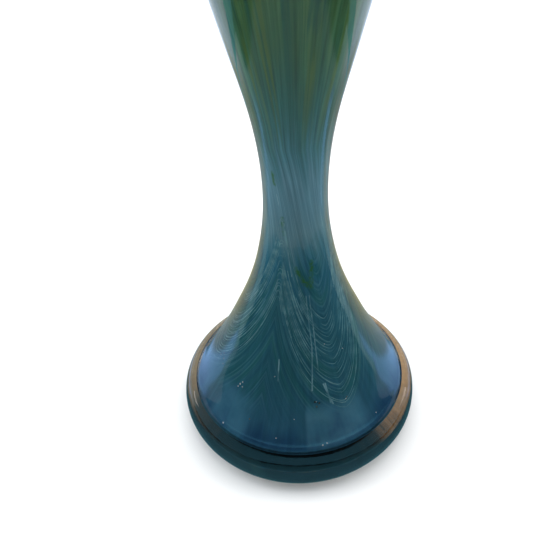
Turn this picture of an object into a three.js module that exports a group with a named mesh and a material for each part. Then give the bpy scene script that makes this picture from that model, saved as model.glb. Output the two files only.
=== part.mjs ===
// A waisted, cased art glass vase: a thick applied foot, a bell that narrows to a slim
// waist, and a tulip body that opens to a fire-polished mouth.
// Millimetres, +Z up, origin at the centre of the ring that the foot stands on.
//
// The wall is built as the glass is gathered. From the outside in it is a clear casing,
// combed threads in a narrow bed, a colour coat (blue below and green above, meeting in a
// scarf joint) and the inner lining that was blown first.
import * as THREE from "three";

// ---- driving dimensions ---------------------------------------------------------------
const FIT_GAP = 0.3; // clearance between neighbouring pieces
const TURN_STEPS = 36; // facets round every turned piece

const RIM_CENTRE_R = 51; // the foot's rounded rim is a half ellipse about this radius
const RIM_R = 9; // its radial half size, so the foot is 120 across
const RIM_HALF_HEIGHT = 11;
const RIM_STEPS = 9;
const STAND_RING_INNER_R = 43; // the flat ring it stands on runs from here to the rim
const RECESS_DEPTH = 2.4; // how far the underside rises inside the ring
const RECESS_R = 30; // where it has nearly reached that depth
const SEAL_R = 13; // polished pontil seal
const SEAL_POCKET_DEPTH = 2;
const SEAL_THICKNESS = 1.5;
const SEAL_BEVEL = 0.5;

const BODY_BASE_Z = 21.9; // underside of the blown body, on top of the foot
const LIP_Z = 340; // top of the mouth

// Outside of the blown body as [height, radius], from the foot to the mouth.
const OUTLINE = [
  [BODY_BASE_Z, 52.6],
  [24.6, 50.6],
  [29, 47.9],
  [36, 44],
  [50, 36.6],
  [62, 31.2],
  [77, 24.9],
  [93, 19.6],
  [109, 16.1],
  [124, 14.2],
  [138, 13.8],
  [154, 14.7],
  [176, 18.2],
  [197, 23.4],
  [217, 28.3],
  [243, 34.7],
  [270, 39.9],
  [297, 42.5],
  [318, 41.3],
  [331, 39.6],
  [LIP_Z, 40],
];

// Wall layers, measured square to the outside surface.
const CASING = 2.2;
const THREAD_BED = 1.3; // room between casing and colour, where the threads lie
const COLOUR = 1.2;
const LINING = 1.4;
const FLOORS = { casing: 1.2, colour: 1.2, lining: 2.4 }; // the same layers across the base
const BED_CLOSES_Z = [138, 154]; // between these heights the casing fills the bed
const BASE_THINNING_Z = [BODY_BASE_Z, 36]; // the wall is drawn thin over the foot
const BASE_SHARE = 0.32; // to this share of its full thickness
const MOUTH_THINNING_Z = [197, LIP_Z]; // and thins again towards the mouth
const MOUTH_SHARE = 0.6;
const SCARF_Z = [154, 176]; // green starts at the first height, blue ends at the second
const SCARF_EDGE = 0.25; // thickness left at each tapered end
const LAYERS_TOP_Z = LIP_Z - 6; // colour and lining end here, under the lip
const LIP_STEPS = 5;
const CORNER = 0.2; // how far a cup's wall flares where it meets the floor
const CLEAR_OF_END = 1; // a face keeps this far from where its layer starts or stops

// Combed threads: each hangs in loops between the lines where a comb pulled it up.
const PULL_DEGREES = [-26, 92, 212]; // from the front (-Y) towards +X
const LOOP_BOTTOM_Z = [38, 45, 52, 59, 66, 74];
const COMB_LIFT = 56; // from a loop's bottom to where its two sides would meet
const LOOP_ROUNDNESS = 1.5; // 2 is a parabola, less is more pointed
const LOOP_STEPS = 16;
const HAIRPIN_R = 0.75; // a thread turns back at a pull on this radius
const HAIRPIN_STEPS = 4;
const THREAD_R = 0.34; // less than HAIRPIN_R, or the thread would fold into itself
const THREAD_SIDES = 5;

// ---- the wall -------------------------------------------------------------------------
const at = (r, z) => new THREE.Vector2(r, z);
const ramp = (z, [low, high]) => THREE.MathUtils.smoothstep(z, low, high);

const heights = OUTLINE.map(([z]) => z);
const radii = OUTLINE.map(([, r]) => r);
const outline = new THREE.CubicInterpolant(heights, radii, 1);
const outsideR = (z) => outline.evaluate(z)[0];

// The point at a depth square to the outside surface, in from height z.
function inFrom(z, depth) {
  const step = 0.5;
  const low = Math.max(z - step, BODY_BASE_Z);
  const high = Math.min(z + step, LIP_Z);
  const slope = (outsideR(high) - outsideR(low)) / (high - low);
  const normal = at(1, -slope).normalize();
  return at(outsideR(z), z).addScaledVector(normal, -depth);
}

// Depths of the layers' faces below the outside surface at height z.
const share = (z) =>
  THREE.MathUtils.lerp(BASE_SHARE, 1, ramp(z, BASE_THINNING_Z)) *
  THREE.MathUtils.lerp(1, MOUTH_SHARE, ramp(z, MOUTH_THINNING_Z));
const colourOut = (z) => share(z) * (CASING + THREAD_BED);
const casingIn = (z) =>
  THREE.MathUtils.lerp(share(z) * CASING, colourOut(z) - FIT_GAP, ramp(z, BED_CLOSES_Z));
const colourIn = (z) => colourOut(z) + share(z) * COLOUR;
const liningOut = (z) => colourIn(z) + FIT_GAP;
const liningIn = (z) => liningOut(z) + share(z) * LINING;

// A face of a layer: its points at the outline's own heights, clear of both its ends.
function face(depth, low, high) {
  return heights
    .map((z) => inFrom(z, depth(z)))
    .filter((p) => p.y > low + CLEAR_OF_END && p.y < high - CLEAR_OF_END);
}

// A turned solid from [radius, height] points that start and end on the axis or close.
function turned(points) {
  const geometry = new THREE.LatheGeometry(points, TURN_STEPS);
  return geometry.rotateX(Math.PI / 2); // LatheGeometry turns about Y
}

// ---- foot -----------------------------------------------------------------------------
const FOOT_TOP_Z = BODY_BASE_Z - FIT_GAP;
const POCKET_TOP_Z = RECESS_DEPTH + SEAL_POCKET_DEPTH;

// Solid foot with a rounded rim, a flat ground ring and a pocket for the seal.
function footPad() {
  const start = -Math.PI / 2;
  const end = Math.asin(FOOT_TOP_Z / RIM_HALF_HEIGHT - 1);
  const rim = Array.from({ length: RIM_STEPS + 1 }, (_, i) => {
    const a = THREE.MathUtils.lerp(start, end, i / RIM_STEPS);
    return at(RIM_CENTRE_R + RIM_R * Math.cos(a), RIM_HALF_HEIGHT * (1 + Math.sin(a)));
  });
  return turned([
    at(0, POCKET_TOP_Z),
    at(SEAL_R + FIT_GAP, POCKET_TOP_Z),
    at(SEAL_R + FIT_GAP, RECESS_DEPTH),
    at(RECESS_R, RECESS_DEPTH * 0.8),
    at(STAND_RING_INNER_R, 0),
    ...rim,
    at(0, FOOT_TOP_Z),
  ]);
}

// Ground and polished disc of punty glass, let into the underside.
function pontilSeal() {
  const top = POCKET_TOP_Z - FIT_GAP;
  const bottom = top - SEAL_THICKNESS;
  return turned([
    at(0, bottom),
    at(SEAL_R - SEAL_BEVEL, bottom),
    at(SEAL_R, bottom + SEAL_BEVEL),
    at(SEAL_R, top),
    at(0, top),
  ]);
}

// ---- blown body -----------------------------------------------------------------------
const CASING_FLOOR_Z = BODY_BASE_Z + FLOORS.casing;
const COLOUR_BASE_Z = CASING_FLOOR_Z + FIT_GAP;
const COLOUR_FLOOR_Z = COLOUR_BASE_Z + FLOORS.colour;
const LINING_BASE_Z = COLOUR_FLOOR_Z + FIT_GAP;
const LINING_FLOOR_Z = LINING_BASE_Z + FLOORS.lining;

// A cup: flat underside, outer face going up, inner face coming down, flat floor.
function cup(baseZ, up, down, floorZ) {
  return turned([
    at(0, baseZ),
    at(up[0].x + CORNER, baseZ),
    ...up,
    ...down,
    at(down.at(-1).x + CORNER, floorZ),
    at(0, floorZ),
  ]);
}

// Clear casing, which closes over the other layers as a rounded lip.
function clearCasing() {
  const lipWidth = liningIn(LIP_Z);
  const lipR = lipWidth / 2;
  const lip = Array.from({ length: LIP_STEPS + 1 }, (_, i) => {
    const a = (Math.PI * i) / LIP_STEPS;
    return at(outsideR(LIP_Z) - lipR + lipR * Math.cos(a), LIP_Z - lipR + lipR * Math.sin(a));
  });
  const shoulderZ = LAYERS_TOP_Z + FIT_GAP;
  const outside = face(() => 0, 0, LIP_Z);
  const down = face(casingIn, CASING_FLOOR_Z, LAYERS_TOP_Z).reverse();
  const underLip = [
    at(outsideR(shoulderZ) - lipWidth, shoulderZ),
    at(outsideR(shoulderZ) - casingIn(shoulderZ), shoulderZ),
  ];
  return turned([
    at(0, BODY_BASE_Z),
    ...outside,
    ...lip,
    ...underLip,
    ...down,
    at(down.at(-1).x + CORNER, CASING_FLOOR_Z),
    at(0, CASING_FLOOR_Z),
  ]);
}

// Blue coat: a cup from the base up to the scarf, where it tapers out under the green.
function blueCoat() {
  const [scarfLow, scarfHigh] = SCARF_Z;
  const stepZ = scarfLow - FIT_GAP;
  const up = [
    ...face(colourOut, COLOUR_BASE_Z, stepZ),
    inFrom(stepZ, colourOut(stepZ)),
    inFrom(stepZ, colourOut(stepZ) + SCARF_EDGE + FIT_GAP),
    inFrom(scarfHigh, colourIn(scarfHigh) - SCARF_EDGE),
  ];
  const end = inFrom(scarfHigh, colourIn(scarfHigh));
  const down = [end, ...face(colourIn, COLOUR_FLOOR_Z, end.y).reverse()];
  return cup(COLOUR_BASE_Z, up, down, COLOUR_FLOOR_Z);
}

// Green coat: a sleeve from the scarf, where it tapers in over the blue, to the lip.
function greenCoat() {
  const [scarfLow, scarfHigh] = SCARF_Z;
  const stepZ = scarfHigh + FIT_GAP;
  const start = inFrom(scarfLow, colourOut(scarfLow));
  const up = face(colourOut, scarfLow, LAYERS_TOP_Z);
  const down = face(colourIn, stepZ, LAYERS_TOP_Z).reverse();
  return turned([
    start,
    ...up,
    at(up.at(-1).x, LAYERS_TOP_Z),
    at(down[0].x, LAYERS_TOP_Z),
    ...down,
    inFrom(stepZ, colourIn(stepZ)),
    inFrom(stepZ, colourIn(stepZ) - SCARF_EDGE - FIT_GAP),
    inFrom(scarfLow, colourOut(scarfLow) + SCARF_EDGE),
    start.clone(),
  ]);
}

// Inner lining: the first bubble, which holds the water.
function innerLining() {
  const up = face(liningOut, LINING_BASE_Z, LAYERS_TOP_Z);
  const down = face(liningIn, LINING_FLOOR_Z, LAYERS_TOP_Z).reverse();
  const top = [at(up.at(-1).x, LAYERS_TOP_Z), at(down[0].x, LAYERS_TOP_Z)];
  return cup(LINING_BASE_Z, [...up, ...top], down, LINING_FLOOR_Z);
}

// ---- threads --------------------------------------------------------------------------
// Middle of the thread bed, on straight lines between the outline's heights as the faces
// on either side of it are.
const bedMiddle = face((z) => (casingIn(z) + colourOut(z)) / 2, 0, LIP_Z);
const bed = new THREE.LinearInterpolant(
  bedMiddle.map((p) => p.y),
  bedMiddle.map((p) => p.x),
  1,
);

function onBed(degrees, z) {
  const angle = THREE.MathUtils.degToRad(degrees);
  const r = bed.evaluate(z)[0];
  return new THREE.Vector3(r * Math.sin(angle), -r * Math.cos(angle), z);
}

// Degrees round the bed that a distance along it spans at height z.
const spanned = (distance, z) => THREE.MathUtils.radToDeg(distance / bed.evaluate(z)[0]);

// One loop from the pull at low degrees to the pull at high degrees, and the hairpin over
// the second pull. The loop's points are closest together beside the pulls.
function loopAndHairpin(bottomZ, low, high) {
  const middle = (low + high) / 2;
  const half = (high - low) / 2;
  const shoulder = 1 - spanned(HAIRPIN_R, bottomZ + COMB_LIFT) / half;
  const loop = Array.from({ length: LOOP_STEPS + 1 }, (_, i) => {
    const across = shoulder * Math.sin(Math.PI * (i / LOOP_STEPS - 0.5));
    return onBed(
      middle + half * across,
      bottomZ + COMB_LIFT * Math.abs(across) ** LOOP_ROUNDNESS,
    );
  });
  const shoulderZ = loop.at(-1).z;
  const hairpin = Array.from({ length: HAIRPIN_STEPS - 1 }, (_, i) => {
    const turn = (Math.PI * (i + 1)) / HAIRPIN_STEPS;
    const z = shoulderZ + HAIRPIN_R * Math.sin(turn);
    return onBed(high - spanned(HAIRPIN_R * Math.cos(turn), z), z);
  });
  return [...loop, ...hairpin];
}

// A smooth curve that a tube follows ring by ring at the curve's own points, so the rings
// are close together in a tight turn and further apart elsewhere.
class PointByPointCurve extends THREE.CatmullRomCurve3 {
  getPointAt(u, target) {
    return this.getPoint(u, target);
  }

  getTangentAt(u, target) {
    return this.getTangent(u, target);
  }
}

// One thread round the bell. It joins up with itself, so the tube has no ends.
function combedThread(bottomZ) {
  const nextPulls = [...PULL_DEGREES.slice(1), PULL_DEGREES[0] + 360];
  const points = PULL_DEGREES.flatMap((pull, i) => loopAndHairpin(bottomZ, pull, nextPulls[i]));
  const path = new PointByPointCurve(points, true);
  return new THREE.TubeGeometry(path, points.length, THREAD_R, THREAD_SIDES, true);
}

// ---- assembly -------------------------------------------------------------------------
const vase = new THREE.Group();

function add(name, geometry, color, roughness) {
  const material = new THREE.MeshStandardMaterial({ color, roughness, metalness: 0 });
  const mesh = new THREE.Mesh(geometry, material);
  mesh.name = name;
  vase.add(mesh);
}

add("foot_pad", footPad(), 0x8a6f52, 0.05);
add("pontil_seal", pontilSeal(), 0x7d6850, 0.12);
add("clear_casing", clearCasing(), 0xcfe3e6, 0.04);
add("blue_colour_coat", blueCoat(), 0x1d5f7c, 0.12);
add("green_colour_coat", greenCoat(), 0x3f6a4a, 0.14);
add("inner_lining", innerLining(), 0x9fc0c4, 0.06);
LOOP_BOTTOM_Z.forEach((bottomZ, i) => {
  add(`combed_thread_${i + 1}`, combedThread(bottomZ), 0xa9c9c4, 0.2);
});

export default vase;
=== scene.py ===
"""A waisted, cased art glass vase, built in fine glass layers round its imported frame.

Metres, +Z up, -Y towards the front. Each turned piece is one closed mesh. The layers are
fused, as in hot glass: each one sinks a little into the next, so no air shows between them.
Shapes are worked out in millimetres, and angles go from the front (-Y) towards +X.
"""
import math
import random

import bpy
import numpy as np
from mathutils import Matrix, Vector


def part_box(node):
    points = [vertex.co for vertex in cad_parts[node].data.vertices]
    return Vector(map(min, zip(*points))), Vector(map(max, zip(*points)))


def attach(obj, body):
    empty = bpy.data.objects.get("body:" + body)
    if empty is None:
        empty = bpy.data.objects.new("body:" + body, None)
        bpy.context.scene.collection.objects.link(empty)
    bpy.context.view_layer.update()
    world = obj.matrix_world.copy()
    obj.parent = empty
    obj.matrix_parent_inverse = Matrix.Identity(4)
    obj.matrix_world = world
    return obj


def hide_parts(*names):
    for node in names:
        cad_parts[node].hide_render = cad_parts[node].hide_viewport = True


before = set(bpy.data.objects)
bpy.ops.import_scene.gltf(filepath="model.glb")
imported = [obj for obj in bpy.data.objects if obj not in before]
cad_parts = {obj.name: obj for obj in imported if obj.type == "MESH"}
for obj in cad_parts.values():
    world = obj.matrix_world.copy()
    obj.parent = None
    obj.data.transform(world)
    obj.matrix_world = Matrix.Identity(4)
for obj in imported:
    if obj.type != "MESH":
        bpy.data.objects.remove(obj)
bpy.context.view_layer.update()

MM = 0.001
SEED = 11

# ---- shape of the vase -----------------------------------------------------------------
# Outside of the blown body as (height, radius), from the foot to the mouth.
OUTLINE = [
    (21.9, 52.6), (24.6, 50.6), (29, 47.9), (36, 44), (50, 36.6), (62, 31.2), (77, 24.9),
    (93, 19.6), (109, 16.1), (124, 14.2), (138, 13.8), (154, 14.7), (176, 18.2), (197, 23.4),
    (217, 28.3), (243, 34.7), (270, 39.9), (297, 42.5), (318, 41.3), (331, 39.6), (340, 40),
]
BASE_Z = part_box("clear_casing")[0][2] / MM
LIP_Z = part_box("clear_casing")[1][2] / MM
LAYERS_TOP_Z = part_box("inner_lining")[1][2] / MM

FOOT_TOP_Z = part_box("foot_pad")[1][2] / MM
FOOT_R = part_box("foot_pad")[1][0] / MM
RIM_HALF_HEIGHT = 11.0
RIM_R = 9.0
STAND_RING_INNER_R = 43.0
RECESS_DEPTH = 2.4
RECESS_R = 30.0
SEAT_OUTER_R = 52.0  # the foot's top, under the body
SEAT_INNER_R = 48.0
SEAT_RISE = 1.2
SEAL_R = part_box("pontil_seal")[1][0] / MM
SEAL_LOW_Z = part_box("pontil_seal")[0][2] / MM
SEAL_EDGE_R = 0.5
SEAL_DEPTH = 1.4  # how far the seal reaches up into the foot

# Depths of the layers below the outside surface, where the wall has its full thickness.
COLOUR_DEPTH = 3.0
LINING_DEPTH = 4.9
CAVITY_DEPTH = 6.4
SUNK = 0.25  # how far a layer sinks into its neighbour
PROUD = 0.03  # how far the green coat stands outside the blue
SCARF_Z = (154.0, 176.0)  # where the blue coat tapers out under the green
THIN_AT_BASE = 0.32  # share of the full thickness
FULL_WALL_Z = 36.0
THINNING_Z = 197.0
THINNED_AT_LIP = 0.4
UNDER_LIP = 0.5  # the lip closes over the layers this far below their top
LINING_FLOOR = (3.0, 5.4)  # underside and top of the lining's floor, above the base
FLOOR_CORNER = (2.0, 1.1)  # the bevel round the floor of the cavity, inward and upward

ROUND_STEPS = 160
PROFILE_STEPS = 150
SHARP_DEGREES = 40
SLOPE_REACH = 0.5  # a face's slope is taken over this far to each side

# ---- combing ---------------------------------------------------------------------------
PULL_DEGREES = (-26, 92, 212)
MEAN_PULL_APART = 120
COMB_LIFT = 56  # how far a pull lifts a thread above the bottom of its loop
LOOP_ROUNDNESS = 1.5
THREAD_BOTTOMS = (38, 45, 52, 59, 66, 74)
STRANDS = ((-3.1, 0.12), (-1.7, 0.2), (0.1, 0.26), (1.9, 0.14), (3.2, 0.2))  # (rise, radius)
STRAND_SIDES = 6
LOOP_STEPS = 72
HAIRPIN_R = 0.75  # a thread turns back at a pull on this radius
HAIRPIN_STEPS = 10

# ---- marks in the glass ----------------------------------------------------------------
# Green frit caught in the blue coat, as strokes from one (degrees, height) to the next.
FRIT_STROKES = [
    [(0, 104), (12, 97), (22, 94), (27, 106)],
    [(-42, 150), (-40, 145)],
    [(-26, 128), (-22, 121)],
]
FRIT_WIDTH = 1.7
FRIT_MM_PER_DEGREE = 0.34
# Pale trails drawn down through the combing.
PALE_TRAILS = [
    [(13.5, 90), (14.5, 66), (11, 46)],
    [(18, 90), (18.5, 76), (17.5, 55)],
    [(20, 48), (24.5, 38)],
    [(21.5, 48), (23, 39)],
    [(-16, 60), (-15, 50)],
    [(-37, 140), (-14, 112), (-7, 100)],
]
TRAIL_WIDTH = 0.32
TRAIL_MM_PER_DEGREE = 0.45
# Bubbles and specks caught under the casing, as (degrees, height, radius). The pale ones are painted
# glints: white specks in place of the light that bubbles catch.
PAINTED_GLINT_SEEDS = [
    (-45, 22.8, 0.425), (-44.5, 41.5, 0.375), (-43, 43, 0.325), (-45.5, 40, 0.275),
    (-42, 41, 0.225), (13.5, 23.2, 0.375), (16, 23.6, 0.4), (50, 25, 0.25), (34, 38, 0.25),
    (-12, 26, 0.225), (13, 41, 0.2), (27, 66, 0.2), (-18, 52, 0.2), (44, 60, 0.1875),
    (-2, 34, 0.1875),
]
DARK_SEEDS = [
    (12, 41, 0.425), (15, 40.2, 0.375), (13, 38.8, 0.3), (35, 38.6, 0.325), (-70, 43, 0.375),
    (-73, 44.5, 0.375), (-76, 42, 0.425), (-68, 41, 0.325), (-30, 30, 0.3),
]
SEED_RISE = 0.35  # centres of the seeds, outside the coat's surface
SEED_FLATNESS = 0.7
SEED_ROWS = 5
SEED_SIDES = 8


# ---- profiles --------------------------------------------------------------------------
def cubic_through(points):
    """A natural cubic curve through (x, y) points, as a function of x."""
    x = np.array([p[0] for p in points], float)
    y = np.array([p[1] for p in points], float)
    h = np.diff(x)
    n = len(x)
    a = np.eye(n)
    b = np.zeros(n)
    for i in range(1, n - 1):
        a[i, i - 1:i + 2] = h[i - 1], 2 * (h[i - 1] + h[i]), h[i]
        b[i] = 6 * ((y[i + 1] - y[i]) / h[i] - (y[i] - y[i - 1]) / h[i - 1])
    m = np.linalg.solve(a, b)

    def curve(at):
        i = int(np.clip(np.searchsorted(x, at) - 1, 0, n - 2))
        low, high = x[i + 1] - at, at - x[i]
        bend = m[i] * low ** 3 / (6 * h[i]) + m[i + 1] * high ** 3 / (6 * h[i])
        left = (y[i] / h[i] - m[i] * h[i] / 6) * low
        return float(bend + left + (y[i + 1] / h[i] - m[i + 1] * h[i] / 6) * high)

    return curve


outside_r = cubic_through(OUTLINE)


def smooth(value, low, high):
    """0 up to low, 1 from high on, and a soft step between them."""
    t = min(max((value - low) / (high - low), 0.0), 1.0)
    return t * t * (3 - 2 * t)


def thickness_share(z):
    """The wall is drawn thin over the foot, and thins again towards the mouth."""
    base = THIN_AT_BASE + (1 - THIN_AT_BASE) * smooth(z, BASE_Z, FULL_WALL_Z)
    return base * (1 - THINNED_AT_LIP * smooth(z, THINNING_Z, LIP_Z))


def in_from(z, depth):
    """(radius, height) of the point at a depth square to the outside surface."""
    low, high = max(z - SLOPE_REACH, BASE_Z), min(z + SLOPE_REACH, LIP_Z)
    slope = (outside_r(high) - outside_r(low)) / (high - low)
    size = math.hypot(1, slope)
    return outside_r(z) - depth / size, z + depth * slope / size


def heights(low, high, steps):
    """Evenly spaced heights from low to high, both included."""
    return [low + (high - low) * i / steps for i in range(steps + 1)]


def layer_face(depth, low, high, steps=PROFILE_STEPS):
    """Profile points of a layer's face, from exactly one height to another."""
    points = [in_from(z, depth * thickness_share(z)) for z in heights(BASE_Z, LIP_Z, steps)]
    rs, zs = zip(*points)
    first = (float(np.interp(low, zs, rs)), low)
    last = (float(np.interp(high, zs, rs)), high)
    return [first] + [p for p in points if low < p[1] < high] + [last]


def arc(centre_r, centre_z, size_r, size_z, start, end, steps):
    """Profile points round part of an ellipse, from one angle to another, in degrees."""
    angles = [math.radians(start + (end - start) * i / steps) for i in range(steps + 1)]
    return [(centre_r + size_r * math.cos(a), centre_z + size_z * math.sin(a)) for a in angles]


# ---- meshes ----------------------------------------------------------------------------
def place(angle, radius, height):
    """A point in metres, from an angle in radians and two millimetre measures."""
    return Vector((radius * math.sin(angle) * MM, -radius * math.cos(angle) * MM, height * MM))


def mesh_object(name, verts, faces):
    """An object of its own mesh, in the scene."""
    mesh = bpy.data.meshes.new(name)
    mesh.from_pydata(verts, [], faces)
    piece = bpy.data.objects.new(name, mesh)
    bpy.context.scene.collection.objects.link(piece)
    return piece


def smooth_object(name, verts, faces):
    """A mesh object shaded smooth, apart from its sharp edges."""
    piece = mesh_object(name, verts, faces)
    piece.data.validate()
    piece.data.update()
    piece.data.shade_smooth()
    piece.data.set_sharp_from_angle(angle=math.radians(SHARP_DEGREES))
    return piece


def turned(name, profile, closes=False, waver=None):
    """A solid of revolution from (radius, height) points.

    The profile starts and ends on the axis, or closes on itself. waver(angle, height) is a
    small change of radius, which takes the machine look off hand-made glass."""
    verts = []
    rows = []
    for r, z in profile:
        if r < 1e-6:
            rows.append([len(verts)] * ROUND_STEPS)
            verts.append(place(0, 0, z))
            continue
        rows.append(list(range(len(verts), len(verts) + ROUND_STEPS)))
        for k in range(ROUND_STEPS):
            a = 2 * math.pi * k / ROUND_STEPS
            verts.append(place(a, r + (waver(a, z) if waver else 0), z))
    if closes:
        rows.append(rows[0])
    faces = []
    for low, high in zip(rows, rows[1:]):
        for k in range(ROUND_STEPS):
            j = (k + 1) % ROUND_STEPS
            face = list(dict.fromkeys([low[k], low[j], high[j], high[k]]))
            if len(face) > 2:
                faces.append(face)
    return smooth_object(name, verts, faces)


def add_strand(verts, faces, centres, radii):
    """Adds a round strand, which closes on itself along its points, to a mesh being built."""
    rings = []
    for i, centre in enumerate(centres):
        along = (centres[(i + 1) % len(centres)] - centres[i - 1]).normalized()
        out = Vector((centre.x, centre.y, 0)).normalized()
        side = along.cross(out).normalized()
        lift = side.cross(along).normalized()
        ring = []
        for k in range(STRAND_SIDES):
            a = 2 * math.pi * k / STRAND_SIDES
            ring.append(len(verts))
            verts.append(centre + (side * math.cos(a) + lift * math.sin(a)) * radii[i])
        rings.append(ring)
    for low, high in zip(rings, rings[1:] + rings[:1]):
        for k in range(STRAND_SIDES):
            j = (k + 1) % STRAND_SIDES
            faces.append([low[k], high[k], high[j], low[j]])


# ---- writing materials -----------------------------------------------------------------
def srgb(r, g, b):
    """Linear colour from 0 to 255 display values."""
    def one(v):
        v /= 255
        return v / 12.92 if v <= 0.04045 else ((v + 0.055) / 1.055) ** 2.4
    return (one(r), one(g), one(b), 1)


class Nodes:
    """A short way to write a node material."""

    def __init__(self, name):
        self.material = bpy.data.materials.new(name)
        self.material.use_nodes = True
        self.tree = self.material.node_tree
        self.shader = self.tree.nodes["Principled BSDF"]
        self.coords = self.add("ShaderNodeTexCoord").outputs["Object"]

    def add(self, kind, **settings):
        node = self.tree.nodes.new(kind)
        for key, value in settings.items():
            setattr(node, key, value)
        return node

    def put(self, socket, value):
        """Links a socket's value to an input, or sets a plain value on the input itself."""
        if isinstance(value, bpy.types.NodeSocket):
            self.tree.links.new(value, socket)
        else:
            socket.default_value = value

    def set(self, **values):
        """Puts values on the shader's inputs, named with _ for each space."""
        for key, value in values.items():
            self.put(self.shader.inputs[key.replace("_", " ")], value)

    def math(self, operation, a, b=0.0):
        node = self.add("ShaderNodeMath", operation=operation)
        self.put(node.inputs[0], a)
        self.put(node.inputs[1], b)
        return node.outputs[0]

    def plus(self, a, b):
        return self.math("ADD", a, b)

    def minus(self, a, b):
        return self.math("SUBTRACT", a, b)

    def times(self, a, b):
        return self.math("MULTIPLY", a, b)

    def greatest(self, first, *others):
        for value in others:
            first = self.math("MAXIMUM", first, value)
        return first

    def length(self, a, b):
        """Square root of the sum of two squares."""
        return self.math("SQRT", self.plus(self.times(a, a), self.times(b, b)))

    def xyz(self):
        """The object coordinates, in metres."""
        node = self.add("ShaderNodeSeparateXYZ")
        self.put(node.inputs[0], self.coords)
        return node.outputs

    def combine(self, x, y, z):
        node = self.add("ShaderNodeCombineXYZ")
        for socket, value in zip(node.inputs, (x, y, z)):
            self.put(socket, value)
        return node.outputs[0]

    def noise(self, vector, scale, detail, roughness=0.5, distortion=0.0):
        node = self.add("ShaderNodeTexNoise")
        self.put(node.inputs["Vector"], vector)
        self.put(node.inputs["Scale"], scale)
        self.put(node.inputs["Detail"], detail)
        self.put(node.inputs["Roughness"], roughness)
        self.put(node.inputs["Distortion"], distortion)
        return node.outputs[0]

    def ramp(self, factor, stops):
        """A straight ramp through (position, grey or colour) stops."""
        node = self.add("ShaderNodeValToRGB")
        elements = node.color_ramp.elements
        while len(elements) < len(stops):
            elements.new(0.5)
        for element, (position, colour) in zip(elements, stops):
            element.position = position
            element.color = colour if isinstance(colour, tuple) else (colour,) * 3 + (1,)
        self.put(node.inputs[0], factor)
        return node.outputs[0]

    def mask(self, value, low, high):
        """A soft step, 0 at low and 1 at high, whichever of the two is the greater."""
        rising = low < high
        node = self.add("ShaderNodeMapRange", interpolation_type="SMOOTHSTEP")
        self.put(node.inputs["From Min"], min(low, high))
        self.put(node.inputs["From Max"], max(low, high))
        self.put(node.inputs["To Min"], 0.0 if rising else 1.0)
        self.put(node.inputs["To Max"], 1.0 if rising else 0.0)
        self.put(node.inputs["Value"], value)
        return node.outputs[0]

    def mix(self, factor, a, b, blend="MIX"):
        """A mix of two colours, whose sockets are inputs 6 and 7 and output 2 of the node."""
        node = self.add("ShaderNodeMix", data_type="RGBA", blend_type=blend)
        self.put(node.inputs[0], factor)
        self.put(node.inputs[6], a)
        self.put(node.inputs[7], b)
        return node.outputs[2]

    def bump(self, height, strength, distance):
        node = self.add("ShaderNodeBump")
        self.put(node.inputs["Strength"], strength)
        self.put(node.inputs["Distance"], distance)
        self.put(node.inputs["Height"], height)
        self.put(self.shader.inputs["Normal"], node.outputs[0])


# ---- where a point of the glass is -----------------------------------------------------
def around(n):
    """The unit direction from the axis, as x and y, which has no seam, and the height."""
    x, y, z = n.xyz()
    r = n.length(x, y)
    return n.math("DIVIDE", x, r), n.math("DIVIDE", y, r), z


def turned_direction(n, turn):
    """The direction from the axis, turned about it by an angle in radians, and the height."""
    x, y, z = around(n)
    c, s = n.math("COSINE", turn), n.math("SINE", turn)
    across = n.minus(n.times(x, c), n.times(y, s))
    along = n.plus(n.times(x, s), n.times(y, c))
    return across, along, z


def angle_and_height(n):
    """Degrees from the front, and the height in millimetres."""
    x, y, z = n.xyz()
    turn = n.math("ARCTAN2", x, n.times(y, -1.0))
    return n.times(turn, math.degrees(1)), n.times(z, 1 / MM)


def share_of_height(n, height):
    """A height in millimetres as a share of the whole vase's."""
    return n.times(height, 1 / OUTLINE[-1][0])


def combed_height(n, degrees, height):
    """Height less the comb's lift: the same all along one combed line."""
    turn = n.times(n.minus(degrees, PULL_DEGREES[0]), 1 / MEAN_PULL_APART)
    across = n.math("ABSOLUTE", n.minus(n.times(n.math("FRACT", turn), 2.0), 1.0))
    return n.minus(height, n.times(n.math("POWER", across, LOOP_ROUNDNESS), COMB_LIFT))


def streak_noise(n, direction, across, along, detail, distortion):
    """Noise drawn out along the profile, as colour is when the bubble is blown."""
    x, y, z = direction
    vector = n.combine(n.times(x, across), n.times(y, across), n.times(z, along))
    return n.noise(vector, 1.0, detail, 0.55, distortion)


def stroke(n, degrees, height, start, end, width, mm_per_degree):
    """A soft line on the coat from one (degrees, height) to another: 1 on it, 0 off it."""
    da, dz = (end[0] - start[0]) * mm_per_degree, end[1] - start[1]
    a = n.times(n.minus(degrees, start[0]), mm_per_degree)
    z = n.minus(height, start[1])
    size = da * da + dz * dz
    t = n.add("ShaderNodeClamp")
    n.put(t.inputs[0], n.plus(n.times(a, da / size), n.times(z, dz / size)))
    off = n.length(n.minus(a, n.times(t.outputs[0], da)), n.minus(z, n.times(t.outputs[0], dz)))
    fall = n.times(off, 1 / width)
    return n.greatest(n.minus(1.0, n.times(fall, fall)), 0.0)


def strokes(n, degrees, height, lines, width, mm_per_degree):
    """Every stroke of several lines of (degrees, height) points, as one mask."""
    parts = [
        stroke(n, degrees, height, start, end, width, mm_per_degree)
        for line in lines
        for start, end in zip(line, line[1:])
    ]
    return n.greatest(*parts)


# ---- the glasses -----------------------------------------------------------------------
GLASS_IOR = 1.5

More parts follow.
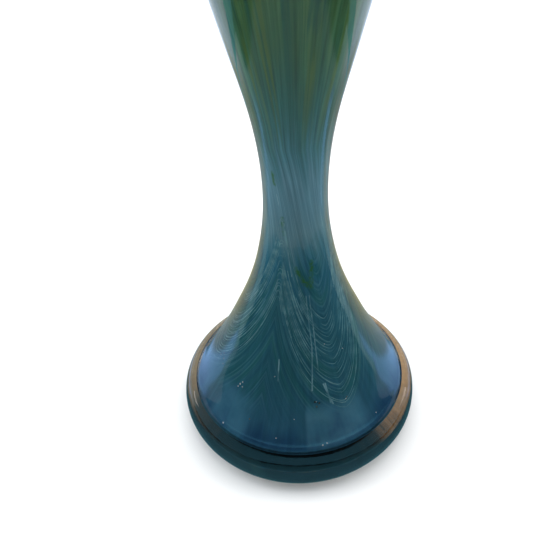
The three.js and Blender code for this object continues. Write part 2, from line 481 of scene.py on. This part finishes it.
# Colour of the coat by share of the vase's height: blue, teal, a pale waist, then green.
COAT_COLOURS = [
    (0.068, srgb(40, 80, 112)),
    (0.088, srgb(53, 102, 127)),
    (0.147, srgb(50, 103, 120)),
    (0.200, srgb(48, 102, 118)),
    (0.247, srgb(56, 109, 126)),
    (0.300, srgb(54, 110, 132)),
    (0.322, srgb(74, 126, 144)),
    (0.350, srgb(98, 140, 152)),
    (0.394, srgb(97, 142, 158)),
    (0.430, srgb(99, 146, 162)),
    (0.465, srgb(80, 134, 146)),
    (0.500, srgb(66, 120, 124)),
    (0.535, srgb(60, 115, 110)),
    (0.570, srgb(64, 112, 97)),
    (0.606, srgb(73, 117, 88)),
    (0.665, srgb(82, 121, 84)),
    (1.000, srgb(84, 120, 80)),
]
OLIVE = srgb(92, 124, 74)
TEAL = srgb(48, 100, 92)
COMBED_GREEN = srgb(44, 106, 104)
COMBED_PALE = srgb(82, 134, 146)
COMBED_DARK = srgb(30, 78, 96)
FRIT_GREEN = srgb(58, 110, 56)
TRAIL_PALE = srgb(150, 196, 208)
# Painted reflections: pale patches low on the bell, as (first degrees, last degrees, softness,
# colour).
PAINTED_REFLECTION_PATCHES = [
    (4, 36, 2.5, srgb(96, 152, 176)),
    (-62, -38, 8, srgb(84, 140, 168)),
]
REFLECTION_PATCH_TRAILING = 14  # degrees over which a painted reflection patch fades at its far end
REFLECTION_PATCH_BASE_Z = (21.5, 23.5)  # heights over which it comes in above the foot
REFLECTION_PATCH_TOP_Z = (33, 42)  # heights over which it fades upwards
COLOUR_DRIFT = 44  # how far, in millimetres, the edges between colours wander
WAIST_TWIST = -0.7  # radians that the streaks turn, going down across the waist


def coloured_streaks(n, height, direction):
    """Colour by height with a wandering edge between the colours, streaked up the body."""
    share = share_of_height(n, height)
    blotch = streak_noise(n, direction, across=2.4, along=9.0, detail=3.0, distortion=0.6)
    drift = n.times(n.minus(blotch, 0.5), COLOUR_DRIFT)
    base = n.ramp(share_of_height(n, n.plus(height, drift)), COAT_COLOURS)

    fine = streak_noise(n, direction, across=20.0, along=22.0, detail=4.0, distortion=0.8)
    strong = n.ramp(fine, [(0.30, 0.72), (0.5, 1.0), (0.70, 1.34)])
    in_bell = n.ramp(share, [(0.26, 0.6), (0.36, 0.0)])
    streaked = n.mix(1.0, base, n.mix(in_bell, strong, (1, 1, 1, 1)), "MULTIPLY")

    broad = streak_noise(n, direction, across=5.0, along=12.0, detail=3.0, distortion=1.0)
    above = n.ramp(share, [(0.46, 0.0), (0.58, 1.0)])
    olive = n.times(n.ramp(broad, [(0.50, 0.0), (0.64, 0.75)]), above)
    teal = n.times(n.ramp(broad, [(0.34, 0.6), (0.47, 0.0)]), above)
    return n.mix(teal, n.mix(olive, streaked, OLIVE), TEAL)


def combed_lines(n, shaded, degrees, height):
    """Green bands, pale lines and dark gaps, combed into loops round the bell."""
    comb = combed_height(n, degrees, height)
    x, y, _ = around(n)
    close = n.combine(n.times(x, 1.6), n.times(y, 1.6), n.times(comb, 0.6))
    fine = n.noise(close, scale=1.0, detail=3.0, roughness=0.6)
    broad = n.noise(n.combine(x, y, n.times(comb, 0.14)), scale=1.0, detail=1.0)
    in_bell = [(0.085, 0.0), (0.13, 1.0), (0.29, 1.0), (0.36, 0.0)]
    below = n.ramp(share_of_height(n, height), in_bell)
    for noise, stops, colour in [
        (broad, [(0.46, 0.0), (0.62, 0.5)], COMBED_GREEN),
        (fine, [(0.52, 0.0), (0.66, 0.5)], COMBED_PALE),
        (fine, [(0.34, 0.4), (0.46, 0.0)], COMBED_DARK),
    ]:
        shaded = n.mix(n.times(n.ramp(noise, stops), below), shaded, colour)
    return shaded


def paint_reflection_patches(n, shaded, degrees, height):
    """Painted reflections: pale wispy patches low on the bell, each crisp at one end and fading at
    the other.
    """
    for first, last, softness, colour in PAINTED_REFLECTION_PATCHES:
        begins = n.mask(degrees, first, first + softness)
        ends = n.mask(degrees, last + REFLECTION_PATCH_TRAILING, last)
        tall = n.times(n.mask(height, *REFLECTION_PATCH_BASE_Z), n.mask(height, *reversed(REFLECTION_PATCH_TOP_Z)))
        inside = n.times(n.times(begins, ends), tall)
        reflection_wisps = n.ramp(n.noise(n.coords, scale=85.0, detail=3.0), [(0.35, 0.25), (0.65, 0.58)])
        shaded = n.mix(n.times(inside, reflection_wisps), shaded, colour)
    return shaded


def frit_and_trails(n, shaded, degrees, height):
    """Grains of green frit, and broken pale trails."""
    frit = strokes(n, degrees, height, FRIT_STROKES, FRIT_WIDTH, FRIT_MM_PER_DEGREE)
    grain = n.ramp(n.noise(n.coords, scale=700.0, detail=2.0), [(0.4, 0.25), (0.6, 0.9)])
    shaded = n.mix(n.times(frit, grain), shaded, FRIT_GREEN)
    trails = strokes(n, degrees, height, PALE_TRAILS, TRAIL_WIDTH, TRAIL_MM_PER_DEGREE)
    broken = n.ramp(n.noise(n.coords, scale=160.0, detail=2.0), [(0.38, 0.15), (0.62, 0.8)])
    return n.mix(n.times(trails, broken), shaded, TRAIL_PALE)


def colour_coat_material(name):
    """Streaky coloured glass: deep blue at the foot, teal in the bell, green above, with pale patches
    of painted reflection low on the bell.
    """
    n = Nodes(name)
    degrees, height = angle_and_height(n)
    twist = n.times(n.ramp(share_of_height(n, height), [(0.30, 1.0), (0.48, 0.0)]), WAIST_TWIST)
    shaded = coloured_streaks(n, height, turned_direction(n, twist))
    shaded = combed_lines(n, shaded, degrees, height)
    # painted reflections: pale patches low on the bell, mixed into the coat's colour
    shaded = paint_reflection_patches(n, shaded, degrees, height)
    shaded = frit_and_trails(n, shaded, degrees, height)
    n.set(Base_Color=shaded, Roughness=0.35, IOR=GLASS_IOR, Specular_IOR_Level=0.0)
    return n.material


def casing_material(name):
    """Clear fire-polished glass with the faint ripple of hot work."""
    n = Nodes(name)
    n.set(Base_Color=srgb(250, 252, 252), Roughness=0.0, IOR=GLASS_IOR, Transmission_Weight=1.0)
    x, y, z = around(n)
    ripple = n.noise(n.combine(x, y, n.times(z, 14.0)), scale=2.2, detail=2.0)
    n.bump(ripple, strength=0.15, distance=0.0006)
    return n.material


def foot_material(name):
    """Clear glass with finer cords than the casing's. Its amber cast is painted: it stands in for a
    tan table seen through the foot.
    """
    n = Nodes(name)
    n.set(Base_Color=srgb(228, 217, 198), Roughness=0.0, IOR=GLASS_IOR, Transmission_Weight=1.0)
    x, y, z = around(n)
    cords = n.noise(n.combine(x, y, n.times(z, 60.0)), scale=2.4, detail=3.0, distortion=0.5)
    n.bump(cords, strength=0.3, distance=0.0006)
    return n.material


def lining_material(name):
    """Tinted glass of the first bubble: blue low down and green near the mouth."""
    n = Nodes(name)
    height = n.times(n.xyz()["Z"], 1 / MM)
    stops = [(0.1, srgb(30, 74, 92)), (0.5, srgb(60, 100, 98)), (0.9, srgb(96, 128, 98))]
    base = n.ramp(share_of_height(n, height), stops)
    streaks = streak_noise(n, around(n), across=9.0, along=8.0, detail=3.0, distortion=0.4)
    shade = n.ramp(streaks, [(0.35, 0.8), (0.65, 1.15)])
    colour = n.mix(1.0, base, shade, "MULTIPLY")
    n.set(Base_Color=colour, Roughness=0.08, IOR=GLASS_IOR, Coat_Weight=1.0)
    return n.material


def thread_material(name):
    """Pale opal, a little uneven along a thread."""
    n = Nodes(name)
    fine = n.noise(n.coords, scale=260.0, detail=3.0)
    colour = n.ramp(fine, [(0.3, srgb(72, 124, 136)), (0.7, srgb(128, 178, 186))])
    n.set(Base_Color=colour, Roughness=0.35, IOR=GLASS_IOR, Specular_IOR_Level=0.0)
    return n.material


def seal_material(name):
    """Glass ground flat: a matt grain that varies in shine."""
    n = Nodes(name)
    grind = n.noise(n.coords, scale=900.0, detail=4.0, roughness=0.7)
    colour = n.ramp(grind, [(0.3, srgb(120, 104, 84)), (0.7, srgb(168, 150, 124))])
    n.set(Base_Color=colour, Roughness=n.ramp(grind, [(0.3, 0.25), (0.7, 0.45)]), IOR=GLASS_IOR)
    n.bump(grind, strength=0.2, distance=0.0002)
    return n.material


def seed_material(name, low, high):
    """A speck's colour, mottled between two."""
    n = Nodes(name)
    speck = n.noise(n.coords, scale=1500.0, detail=2.0)
    colour = n.ramp(speck, [(0.35, low), (0.65, high)])
    n.set(Base_Color=colour, Roughness=0.3, Specular_IOR_Level=0.3)
    return n.material


# ---- pieces ----------------------------------------------------------------------------
def foot_waver(a, z):
    """The rim's small unevenness. It only takes away, so the foot stays inside its CAD box."""
    return 0.18 * math.sin(2 * a + 0.7) + 0.1 * math.sin(5 * a + z * 0.3) - 0.3


def build_foot():
    """Solid foot. Its top is hidden inside the colour coat, which sits in it."""
    top = math.degrees(math.asin(FOOT_TOP_Z / RIM_HALF_HEIGHT - 1))
    rim = arc(FOOT_R - RIM_R, RIM_HALF_HEIGHT, RIM_R, RIM_HALF_HEIGHT, -90, top, 48)
    underside = [
        (0, RECESS_DEPTH + 0.3), (SEAL_R, RECESS_DEPTH + 0.1), (SEAL_R + 0.6, RECESS_DEPTH),
        (RECESS_R, RECESS_DEPTH * 0.8), (STAND_RING_INNER_R - 4, RECESS_DEPTH * 0.3),
        (STAND_RING_INNER_R, 0.0),
    ]
    seat_z = BASE_Z + SEAT_RISE
    seat = [(SEAT_OUTER_R, BASE_Z + 0.2), (SEAT_INNER_R, seat_z), (0, seat_z)]
    return turned("foot", underside + rim + seat, waver=foot_waver)


def build_seal():
    """The ground disc of glass in the foot's recess."""
    low = SEAL_LOW_Z
    under = [(0, low + 0.25), (SEAL_R * 0.6, low + 0.1), (SEAL_R - 0.6, low)]
    edge = arc(SEAL_R - SEAL_EDGE_R, low + SEAL_EDGE_R, SEAL_EDGE_R, SEAL_EDGE_R, -90, 0, 6)
    return turned("pontil", under + edge + [(SEAL_R, low + SEAL_DEPTH), (0, low + SEAL_DEPTH)])


def build_casing():
    """Clear casing and its rounded lip. Its inner face is sunk in the colour coat."""
    outside = [(outside_r(z), z) for z in heights(BASE_Z, LIP_Z - 2, PROFILE_STEPS)]
    width = CAVITY_DEPTH * thickness_share(LIP_Z)
    half = width / 2
    lip = arc(outside_r(LIP_Z) - half, LIP_Z - half, half, half, 0, 180, 16)
    under_lip_z = LAYERS_TOP_Z - UNDER_LIP
    under_lip_r = outside_r(under_lip_z)
    inside = [(under_lip_r - width, under_lip_z), (under_lip_r - COLOUR_DEPTH, under_lip_z)]
    down = layer_face(COLOUR_DEPTH + SUNK, BASE_Z + 0.9, LAYERS_TOP_Z - 2)[::-1]
    edge_r = outside_r(BASE_Z)
    in_foot = [(edge_r - 3, BASE_Z - 1.6), (edge_r - 0.6, BASE_Z - 1.6), (edge_r + 0.3, BASE_Z - 0.9)]
    return turned("casing", in_foot + outside[:-1] + lip + inside + down, closes=True)


def build_blue_coat():
    """A cup from the base, which tapers out under the green at the scarf joint. Its skirt
    flares inside the foot, so the joint of body and foot is blue from every side."""
    scarf_low, scarf_high = SCARF_Z
    low, floor = BASE_Z + 0.2, BASE_Z + 2.4
    edge_r = outside_r(BASE_Z)
    skirt = [(edge_r + 0.5, BASE_Z - 1.5), (edge_r - 0.25, BASE_Z + 0.1)]
    up = skirt + layer_face(COLOUR_DEPTH, BASE_Z + 1, scarf_low)
    tip = in_from(scarf_high, LINING_DEPTH * thickness_share(scarf_high))
    down = layer_face(LINING_DEPTH + SUNK, low + 1.5, scarf_high)[::-1]
    return turned("blue_coat", [(0, low)] + up + [tip] + down + [(down[-1][0], floor), (0, floor)])


def build_green_coat():
    """A sleeve from the scarf joint to the lip, a hair proud of the blue."""
    scarf_low, scarf_high = SCARF_Z
    up = layer_face(COLOUR_DEPTH - PROUD, scarf_low - 0.6, LAYERS_TOP_Z)
    down = layer_face(LINING_DEPTH + SUNK, scarf_high, LAYERS_TOP_Z)[::-1]
    return turned("green_coat", up + down, closes=True)


def build_lining():
    """The first bubble, from its floor to the lip."""
    low, high = BASE_Z + LINING_FLOOR[0], BASE_Z + LINING_FLOOR[1]
    inward, upward = FLOOR_CORNER
    up = layer_face(LINING_DEPTH, low, LAYERS_TOP_Z)
    down = layer_face(CAVITY_DEPTH, high + upward, LAYERS_TOP_Z)[::-1]
    profile = [(0, low), (up[0][0], low)] + up + down
    return turned("lining", profile + [(down[-1][0] - inward, high), (0, high)])


def coat_radius():
    """Radius of the coat's surface, where the threads and seeds lie, as a function of height."""
    rs, zs = zip(*layer_face(COLOUR_DEPTH, BASE_Z, LIP_Z, 300))
    return lambda z: float(np.interp(z, zs, rs))


def thread_route(bottom, radius_at):
    """(degrees, height) round one thread: a loop between each two pulls, then a hairpin."""
    route = []
    for low, high in zip(PULL_DEGREES, PULL_DEGREES[1:] + (PULL_DEGREES[0] + 360,)):
        middle, half = (low + high) / 2, (high - low) / 2
        shoulder = 1 - math.degrees(HAIRPIN_R / radius_at(bottom + COMB_LIFT)) / half
        for k in range(LOOP_STEPS + 1):
            across = shoulder * math.sin(math.pi * (k / LOOP_STEPS - 0.5))
            lift = COMB_LIFT * abs(across) ** LOOP_ROUNDNESS
            route.append((middle + half * across, bottom + lift))
        shoulder_z = route[-1][1]
        for k in range(1, HAIRPIN_STEPS):
            turn = math.pi * k / HAIRPIN_STEPS
            z = shoulder_z + HAIRPIN_R * math.sin(turn)
            route.append((high - math.degrees(HAIRPIN_R * math.cos(turn) / radius_at(z)), z))
    return route


def build_threads(radius_at):
    """Each thread is a bundle of fine strands, which surface and sink in the coat."""
    threads = []
    for i, bottom in enumerate(THREAD_BOTTOMS):
        verts, faces = [], []
        rng = random.Random(SEED + i)
        for rise, size in STRANDS:
            phase = rng.uniform(0, 6.3)
            start = bottom + rise + rng.uniform(-0.4, 0.4)
            centres, radii = [], []
            for degrees, height in thread_route(start, radius_at):
                # it wanders up and down, sinks and surfaces, and swells, each in slow waves
                a = math.radians(degrees)
                z = height + 0.4 * math.sin(3 * a + phase) + 0.25 * math.sin(8 * a + 2 * phase)
                sink = size * (0.7 + 0.75 * math.sin(4 * a + 3 * phase) * math.sin(9 * a + phase))
                centres.append(place(a, radius_at(z) - sink, z))
                radii.append(size * MM * (0.85 + 0.25 * math.sin(5 * a + phase)))
            add_strand(verts, faces, centres, radii)
        threads.append(smooth_object(f"thread_{i + 1}", verts, faces))
    return threads


def build_seeds(name, seeds, radius_at):
    """Small bubbles, drawn out along the wall as they are when the glass is blown. The pale ones'
    colour is a painted glint.
    """
    verts, faces = [], []
    rng = random.Random(SEED)
    for degrees, height, size in seeds:
        a = math.radians(degrees)
        r = radius_at(height) + SEED_RISE
        tall = size * rng.uniform(1.0, 1.7)
        low_pole, high_pole = len(verts), len(verts) + 1
        verts += [place(a, r, height - tall), place(a, r, height + tall)]
        sideways = Vector((math.cos(a), math.sin(a), 0)) * MM
        rings = []
        for i in range(1, SEED_ROWS):
            up = math.pi * i / SEED_ROWS
            out = size * math.sin(up)
            rings.append(list(range(len(verts), len(verts) + SEED_SIDES)))
            for k in range(SEED_SIDES):
                turn = 2 * math.pi * k / SEED_SIDES
                depth = SEED_FLATNESS * out * math.sin(turn)
                point = place(a, r + depth, height - tall * math.cos(up))
                verts.append(point + sideways * out * math.cos(turn))
        for k in range(SEED_SIDES):
            j = (k + 1) % SEED_SIDES
            faces.append([low_pole, rings[0][j], rings[0][k]])
            faces.append([high_pole, rings[-1][k], rings[-1][j]])
            for low, high in zip(rings, rings[1:]):
                faces.append([low[k], low[j], high[j], high[k]])
    return smooth_object(name, verts, faces)


def declare(piece, slot, material, *nodes):
    """Gives a piece its material and body, and hides the CAD nodes it stands for. The slot is not
    used.
    """
    piece.data.materials.append(material)
    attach(piece, "root")
    if nodes:
        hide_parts(*nodes)


coat = colour_coat_material("streaky_colour")
declare(build_foot(), "foot_glass", foot_material("foot_glass_painted_table_tint"), "foot_pad")
declare(build_seal(), "foot_glass", seal_material("ground_glass"), "pontil_seal")
declare(build_casing(), "casing_glass", casing_material("clear_casing_glass"), "clear_casing")
declare(build_blue_coat(), "blue_glass", coat, "blue_colour_coat")
declare(build_green_coat(), "green_glass", coat, "green_colour_coat")
declare(build_lining(), "lining_glass", lining_material("lining_glass"), "inner_lining")

thread_glass = thread_material("opal_thread")
coat_radius_at = coat_radius()
# the pale seeds are painted glints: opaque white specks in place of light caught by bubbles
pale = seed_material("painted_glint_seed", srgb(226, 236, 238), srgb(252, 253, 253))
dark = seed_material("dark_seed", srgb(26, 30, 24), srgb(112, 104, 62))
declare(build_seeds("painted_glint_seeds", PAINTED_GLINT_SEEDS, coat_radius_at), "casing_glass", pale)
declare(build_seeds("dark_seeds", DARK_SEEDS, coat_radius_at), "casing_glass", dark)
for i, thread in enumerate(build_threads(coat_radius_at)):
    declare(thread, "thread_glass", thread_glass, f"combed_thread_{i + 1}")


# ---- studio: floor and lights ----------------------------------------------------------
# Level sheets, lights and masks are in metres. Curtains and rims are in millimetres.
FLOOR_Z = -0.0003
FLOOR_REACH = 3.0


def stage_mesh(name, verts, faces, material):
    """A floor or card, which isn't part of the vase."""
    card = mesh_object(name, verts, faces)
    card.data.materials.append(material)
    return card


def level_sheet(name, reach, low_y, high_y, z, material):
    """A flat rectangle, as far to the left as to the right."""
    corners = [(-reach, low_y, z), (reach, low_y, z), (reach, high_y, z), (-reach, high_y, z)]
    return stage_mesh(name, corners, [[0, 1, 2, 3]], material)


def floor_material(name):
    """Plain, pale and matt."""
    n = Nodes(name)
    n.set(Base_Color=(0.86, 0.86, 0.85, 1), Roughness=0.8)
    return n.material


def area_light(name, location, aim, size, power, colour):
    """A soft rectangular light of so many watts, turned towards a point."""
    light = bpy.data.lights.new(name, "AREA")
    light.shape = "RECTANGLE"
    light.size, light.size_y = size
    light.energy = power
    light.color = colour
    lamp = bpy.data.objects.new(name, light)
    lamp.location = location
    lamp.rotation_euler = (Vector(aim) - Vector(location)).to_track_quat("-Z", "Y").to_euler()
    bpy.context.scene.collection.objects.link(lamp)


pale_floor = floor_material("pale_floor")
level_sheet("floor", FLOOR_REACH, -FLOOR_REACH, FLOOR_REACH, FLOOR_Z, pale_floor)
for name, location, aim, size, power, colour in [
    ("overhead", (0.1, 0.3, 1.1), (0, 0, 0.1), (1.2, 1.2), 12, (1, 1, 1)),
    ("left", (-0.9, 0.1, 0.6), (0, 0, 0.15), (0.7, 0.9), 7, (0.9, 0.95, 1)),
    ("right", (0.9, 0.1, 0.5), (0, 0, 0.15), (0.7, 0.9), 5, (0.95, 0.97, 1)),
]:
    area_light(name, location, aim, size, power, colour)

# ---- studio: cards that only the glass sees --------------------------------------------
CARD_LIFT = 0.0001  # one card above another, or above the floor
FLOOR_CARD_REACH = 1.6
UNDERFOOT_CARD_R = 100
UNDERFOOT_CARD_SIDES = 60
FLAG_R = 262
FLAG_GAP_Z = 80  # the low curtain ends here in front, and the high one starts
FLAG_TOP_Z = 700
LOW_CURTAIN_TOPS = [(0, FLAG_GAP_Z), (96, FLAG_GAP_Z), (104, 30), (112, 18), (126, 5), (150, 3)]
HIGH_CURTAIN_TOPS = [(0, FLAG_TOP_Z), (113, FLAG_TOP_Z)]
FOOT_CURTAIN_R = 105
FOOT_CURTAIN_BASE_Z = 0.5
FOOT_CURTAIN_TOPS = [(0, 27), (45, 24), (60, 15), (75, 3)]
CURTAIN_STEPS = 60
CANOPY_BACK_Y = 0.03
NIGHT = (0.01, 0.02, 0.03, 1)


def glow(name, colour):
    """A card's material: light of its own, so nothing shadows it."""
    n = Nodes(name)
    n.set(Base_Color=(0, 0, 0, 1), Specular_IOR_Level=0.0, Emission_Strength=1.0)
    n.set(Emission_Color=colour)
    n.material.cycles.emission_sampling = "NONE"
    return n


def only_seen(card, reflected=True, through_glass=False):
    """Hides a card from the camera and from everything that it isn't meant for."""
    card.visible_camera = False
    card.visible_diffuse = False
    card.visible_shadow = False
    card.visible_volume_scatter = False
    card.visible_glossy = reflected
    card.visible_transmission = through_glass


def floor_card():
    """What the glass reflects of the floor: dark in front beyond an oval, pale blue and then
    teal to each side of the foot, golden behind it, and cool further away."""
    n = glow("floor_seen_in_reflections", NIGHT)
    x, y, _ = n.xyz()
    side = n.math("ABSOLUTE", x)

    # in front: an oval of pale grey-blue, and night beyond it
    across = n.math("POWER", n.times(x, 1 / 0.215), 2.0)
    ahead = n.math("POWER", n.times(y, 1 / 0.285), 2.0)
    beyond_oval = n.mask(n.math("SQRT", n.plus(across, ahead)), 0.97, 1.03)
    front = n.mix(beyond_oval, (0.33, 0.42, 0.45, 1), NIGHT)

    # behind: grey, golden, then neutral. Further to the sides: dim, and teal nearer the front
    golden = n.mix(n.mask(y, 0.055, 0.09), (0.33, 0.38, 0.38, 1), (0.56, 0.51, 0.29, 1))
    behind = n.mix(n.mask(y, 0.12, 0.15), golden, (0.39, 0.37, 0.32, 1))
    dim = n.times(n.mask(side, 0.165, 0.195), n.mask(y, 0.145, 0.10))
    near = n.mix(dim, behind, (0.22, 0.22, 0.18, 1))
    teal = n.times(n.mask(side, 0.18, 0.20), n.mask(y, 0.085, 0.065))
    near = n.mix(teal, near, (0.50, 0.78, 0.75, 1))

    # further away: cool, which comes in closer to the sides of the back
    widening = n.times(n.mask(side, 0.165, 0.26), n.mask(y, 0.04, 0.11))
    away = n.greatest(widening, n.mask(side, 0.25, 0.28), n.mask(y, 0.22, 0.34))
    back = n.mix(away, near, (1.05, 1.2, 1.5, 1))

    # a pale blue strip to each side of the foot parts the back from the front
    beyond_strip = n.greatest(n.mask(y, 0.042, 0.054), n.mask(side, 0.175, 0.20))
    strip = n.mix(beyond_strip, (0.55, 0.95, 1.6, 1), back)
    lean = n.times(n.greatest(n.minus(side, 0.16), 0.0), -0.1)
    colour = n.mix(n.mask(n.plus(y, lean), 0.008, 0.020), front, strip)

    # close round the foot it is dark teal, a painted shade, in a ring that is narrower at the back
    near_foot = n.plus(n.length(x, y), n.times(n.greatest(y, 0.0), 0.45))
    colour = n.mix(n.mask(near_foot, 0.108, 0.098), colour, (0.06, 0.17, 0.21, 1))
    n.set(Emission_Color=colour)
    reach, z = FLOOR_CARD_REACH, FLOOR_Z + CARD_LIFT
    only_seen(level_sheet("floor_card", reach, -reach, reach, z, n.material))


def curtain(name, radius, bottom, tops, material):
    """A card that stands round the front, as far to the left as to the right. Its top edge
    is given as (degrees, height), out to its end."""
    degrees_out, top_heights = zip(*tops)
    reach = degrees_out[-1]
    verts, faces = [], []
    for i in range(CURTAIN_STEPS + 1):
        degrees = -reach + 2 * reach * i / CURTAIN_STEPS
        top = float(np.interp(abs(degrees), degrees_out, top_heights))
        verts += [place(math.radians(degrees), radius, z) for z in (bottom, top)]
        if i:
            k = 2 * i
            faces.append([k - 2, k, k + 1, k - 1])
    only_seen(stage_mesh(name, verts, faces, material))


def front_flag():
    """Dark curtains round the front, which the glass reflects. They are teal above a line
    that falls away to each side, and dark again near the top and overhead."""
    n = glow("flag_dark_then_teal", NIGHT)
    _, y, height = n.xyz()
    level = n.plus(height, n.times(y, 0.24))
    band = n.times(n.mask(level, 0.008, 0.016), n.mask(height, 0.42, 0.32))
    n.set(Emission_Color=n.mix(band, NIGHT, (0.18, 0.62, 0.86, 1)))
    curtain("low_curtain", FLAG_R, 0, LOW_CURTAIN_TOPS, n.material)
    curtain("high_curtain", FLAG_R, FLAG_GAP_Z, HIGH_CURTAIN_TOPS, n.material)
    teal = glow("flag_teal", (0.11, 0.42, 0.55, 1)).material
    curtain("foot_curtain", FOOT_CURTAIN_R, FOOT_CURTAIN_BASE_Z, FOOT_CURTAIN_TOPS, teal)
    black = glow("flag_black", (0.005, 0.01, 0.012, 1)).material
    reach, z = FLAG_R * MM, FLAG_TOP_Z * MM
    only_seen(level_sheet("canopy", reach, -reach, CANOPY_BACK_Y, z, black))


def underfoot_card():
    """What shows through the foot: painted shadow under the recess, and a mottled brown table outside
    it.
    """
    n = glow("floor_seen_through_foot", NIGHT)
    x, y, _ = n.xyz()
    mottle = n.noise(n.coords, scale=330.0, detail=5.0, roughness=0.7)
    ragged = n.plus(n.length(x, y), n.times(n.minus(mottle, 0.5), 0.006))
    colour = n.ramp(n.times(ragged, 1 / (UNDERFOOT_CARD_R * MM)), [
        (0.425, (0.003, 0.004, 0.004, 1)),
        (0.445, (0.030, 0.022, 0.014, 1)),
        (0.470, (0.16, 0.10, 0.055, 1)),
        (0.520, (0.33, 0.23, 0.14, 1)),
        (0.580, (0.46, 0.34, 0.22, 1)),
        (0.680, (0.20, 0.15, 0.10, 1)),
    ])
    speckle = n.noise(n.coords, scale=900.0, detail=3.0, roughness=0.7)
    grain = n.ramp(speckle, [(0.3, 0.75), (0.7, 1.2)])
    sides = n.mix(n.mask(x, -0.04, 0.04), (0.90, 1.2, 1.6, 1), (1.55, 1.65, 1.8, 1))
    seen = n.mix(1.0, n.mix(1.0, colour, grain, "MULTIPLY"), sides, "MULTIPLY")

    # painted shadow: it is dark at the front, up to a ragged slanting edge
    slant = n.plus(y, n.times(x, 0.157))
    edge = n.plus(slant, n.times(n.minus(ragged, 0.049), -1.6))
    shade = n.ramp(n.mask(edge, -0.019, -0.011), [(0.0, 0.2), (1.0, 1.0)])
    seen = n.mix(1.0, seen, shade, "MULTIPLY")

    # what it adds to the colours that the foot's glass lies over is warm and even
    bounced = n.math("GREATER_THAN", n.add("ShaderNodeLightPath").outputs["Diffuse Depth"], 0.5)
    n.set(Emission_Color=n.mix(bounced, seen, (1.0, 0.9, 0.7, 1)))
    count = UNDERFOOT_CARD_SIDES
    height = (FLOOR_Z + 2 * CARD_LIFT) / MM
    rim = [place(2 * math.pi * i / count, UNDERFOOT_CARD_R, height) for i in range(count)]
    card = stage_mesh("underfoot_card", rim, [list(range(count))], n.material)
    only_seen(card, reflected=False, through_glass=True)


floor_card()
front_flag()
underfoot_card()

# ---- studio: the room ------------------------------------------------------------------
ROOM_COLOUR = (0.93, 0.96, 1, 1)
ROOM_STRENGTH = 0.6
ROOM_STRENGTH_REFLECTED = 0.3

world = bpy.data.worlds.new("studio")
world.use_nodes = True
tree = world.node_tree
path = tree.nodes.new("ShaderNodeLightPath")
strength = tree.nodes.new("ShaderNodeMapRange")
strength.inputs["To Min"].default_value = ROOM_STRENGTH
strength.inputs["To Max"].default_value = ROOM_STRENGTH_REFLECTED
tree.links.new(path.outputs["Is Glossy Ray"], strength.inputs["Value"])
tree.nodes["Background"].inputs["Color"].default_value = ROOM_COLOUR
tree.links.new(strength.outputs[0], tree.nodes["Background"].inputs["Strength"])
bpy.context.scene.world = world
bpy.context.scene.view_settings.view_transform = "Standard"

# ---- camera ----------------------------------------------------------------------------
CAMERA_PLACE = (0.0086, -0.256, 0.320)
LOOK_DOWN_DEGREES = 42.73

camera = bpy.data.objects.new("camera", bpy.data.cameras.new("camera"))
camera.data.lens = 48.2
camera.data.sensor_width = 36
camera.data.shift_x = -0.064
camera.data.clip_start = 0.01
camera.location = CAMERA_PLACE
camera.rotation_euler = (math.radians(90 - LOOK_DOWN_DEGREES), 0, 0)
bpy.context.scene.collection.objects.link(camera)
bpy.context.scene.camera = camera
